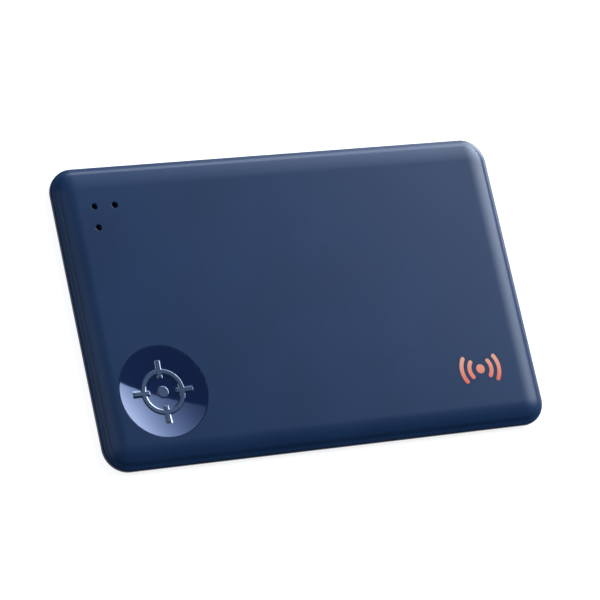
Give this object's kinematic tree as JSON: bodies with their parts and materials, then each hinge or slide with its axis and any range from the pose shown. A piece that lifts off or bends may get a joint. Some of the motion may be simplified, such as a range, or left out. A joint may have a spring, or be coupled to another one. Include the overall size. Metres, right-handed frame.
{
  "type": "card tracker tag",
  "caption": "Thin card-shaped wireless tracker tag: a navy two-part case with a crowned edge, a dished round push button, small sound holes and a coral mark on its front face.",
  "frame": {"origin": "middle of the rear face, the flat face that the card lies on", "axes": "+Z out of the front face, which has the button; +X along the card's length, away from the button's end; +Y across the card, towards the edge that is nearer to the sound holes"},
  "size_m": [0.0856, 0.054, 0.0025],
  "materials": {
    "case_plastic": "matte navy, very fine grain",
    "bond_bead": "cured dark adhesive",
    "mark_ink": "matte coral ink",
    "button_plastic": "polished dish with a matte raised symbol",
    "silicone": "translucent grey silicone",
    "dome_steel": "bright spring steel",
    "amber_film": "clear amber film",
    "gold_plate": "gold over copper",
    "membrane": "black porous film",
    "white_tape": "white double-sided tape",
    "buzzer_brass": "satin rolled brass",
    "piezo_ceramic": "fired ceramic with a dull silver electrode",
    "foam": "dark closed-cell foam",
    "spring_bronze": "gold over bronze",
    "board_laminate": "green solder mask",
    "copper": "bare copper under thin mask",
    "chip_resin": "black moulding resin",
    "crystal_can": "nickel lid on ceramic",
    "ferrite": "sintered ferrite",
    "capacitor_body": "tan ceramic with tinned ends",
    "resistor_body": "black glaze with tinned ends",
    "inductor_body": "pale ceramic with tinned ends",
    "cell_laminate": "satin aluminium laminate",
    "nickel": "rolled nickel strip"
  },
  "bodies": {
    "case": {"rear_housing": "case_plastic", "front_cover": "case_plastic", "perimeter_seal": "bond_bead", "printed_mark": "mark_ink", "button_diaphragm": "silicone", "switch_dome": "dome_steel", "dome_film": "amber_film", "switch_pads": "gold_plate", "acoustic_membrane": "membrane", "membrane_adhesive": "white_tape", "buzzer_plate": "buzzer_brass", "buzzer_ceramic": "piezo_ceramic", "buzzer_foam_ring": "foam", "buzzer_spring_inner": "spring_bronze", "buzzer_spring_outer": "spring_bronze", "circuit_board": "board_laminate", "board_adhesive": "white_tape", "board_pads": "gold_plate", "antenna_trace": "copper", "radio_chip": "chip_resin", "radio_crystal": "crystal_can", "clock_crystal": "crystal_can", "buzzer_driver": "chip_resin", "boost_inductor": "ferrite", "reservoir_capacitors": "capacitor_body", "ceramic_capacitors": "capacitor_body", "chip_resistors": "resistor_body", "matching_inductors": "inductor_body", "battery_cell": "cell_laminate", "battery_tab_positive": "nickel", "battery_tab_negative": "nickel", "battery_terrace_tape": "amber_film", "battery_adhesive": "white_tape", "battery_foam": "foam"},
    "button": {"button_cap": "button_plastic"}
  },
  "joints": [
    {"name": "button_press", "type": "slide", "parent": "case", "child": "button", "axis": [0, 0, -1], "range_m": [0, 0.00018], "stiffness_N_per_m": 11000, "deforming": ["button_diaphragm", "switch_dome", "dome_film"]}
  ]
}
